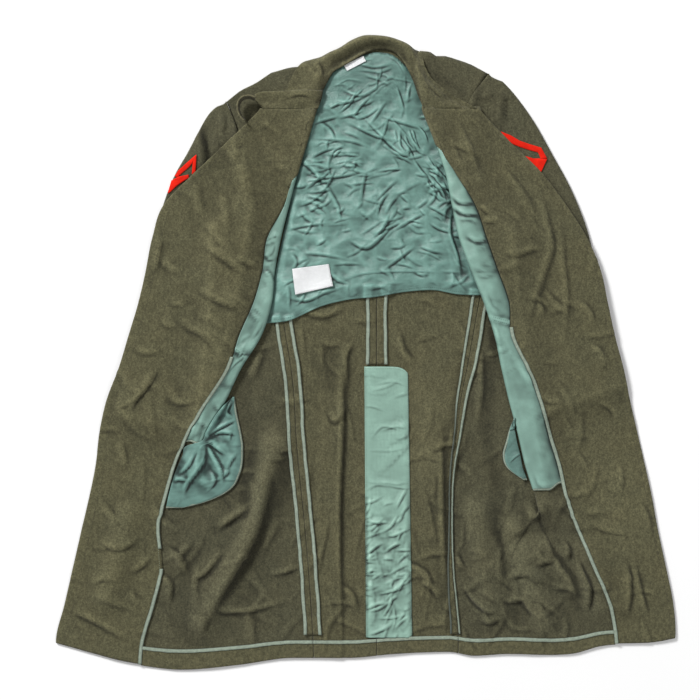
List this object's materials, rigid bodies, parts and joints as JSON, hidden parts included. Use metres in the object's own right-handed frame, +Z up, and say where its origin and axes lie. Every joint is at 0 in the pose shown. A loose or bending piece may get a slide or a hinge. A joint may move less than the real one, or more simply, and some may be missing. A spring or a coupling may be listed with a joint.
{
  "type": "wool overcoat",
  "caption": "Long wool overcoat lying open on its back, fronts folded outwards over the sleeves, with half lining, bound seams, facings, pocket bags and collar.",
  "frame": {"origin": "on the surface the coat lies on, under the middle of its bounding box", "axes": "+Y towards the neck, +Z up out of the coat's inside, +X towards the wearer's left"},
  "size_m": [1.1468, 1.1748, 0.0307],
  "materials": {
    "olive_wool": "matt olive-drab coating wool",
    "green_satin": "grey-green lining satin, soft sheen, crinkled",
    "binding_tape": "pale green seam-binding tape",
    "label_tape": "white woven label, blank",
    "chevron_felt": "red felt stripes with olive between them"
  },
  "bodies": {
    "root": {"allowance_centre_left": "olive_wool", "allowance_centre_right": "olive_wool", "allowance_side_left_left": "olive_wool", "allowance_side_left_right": "olive_wool", "allowance_side_right_left": "olive_wool", "allowance_side_right_right": "olive_wool", "back_left": "olive_wool", "back_right": "olive_wool", "binding_centre_left": "binding_tape", "binding_centre_right": "binding_tape", "binding_side_left_left": "binding_tape", "binding_side_left_right": "binding_tape", "binding_side_right_left": "binding_tape", "binding_side_right_right": "binding_tape", "care_label": "label_tape", "chevron_left": "chevron_felt", "chevron_right": "chevron_felt", "collar": "olive_wool", "collar_tip": "olive_wool", "facing_binding_left": "binding_tape", "facing_binding_right": "binding_tape", "facing_left": "olive_wool", "facing_right": "olive_wool", "front_left": "olive_wool", "front_right": "olive_wool", "hem_back_left": "olive_wool", "hem_back_right": "olive_wool", "hem_binding_back_left": "binding_tape", "hem_binding_back_right": "binding_tape", "hem_binding_front_left": "binding_tape", "hem_binding_front_right": "binding_tape", "hem_front_left": "olive_wool", "hem_front_right": "olive_wool", "lining_back": "green_satin", "lining_front_left": "green_satin", "lining_front_right": "green_satin", "neck_label": "label_tape", "pocket_left": "green_satin", "pocket_right": "green_satin", "sleeve_left": "olive_wool", "sleeve_right": "olive_wool", "vent_stay": "green_satin"}
  },
  "joints": []
}
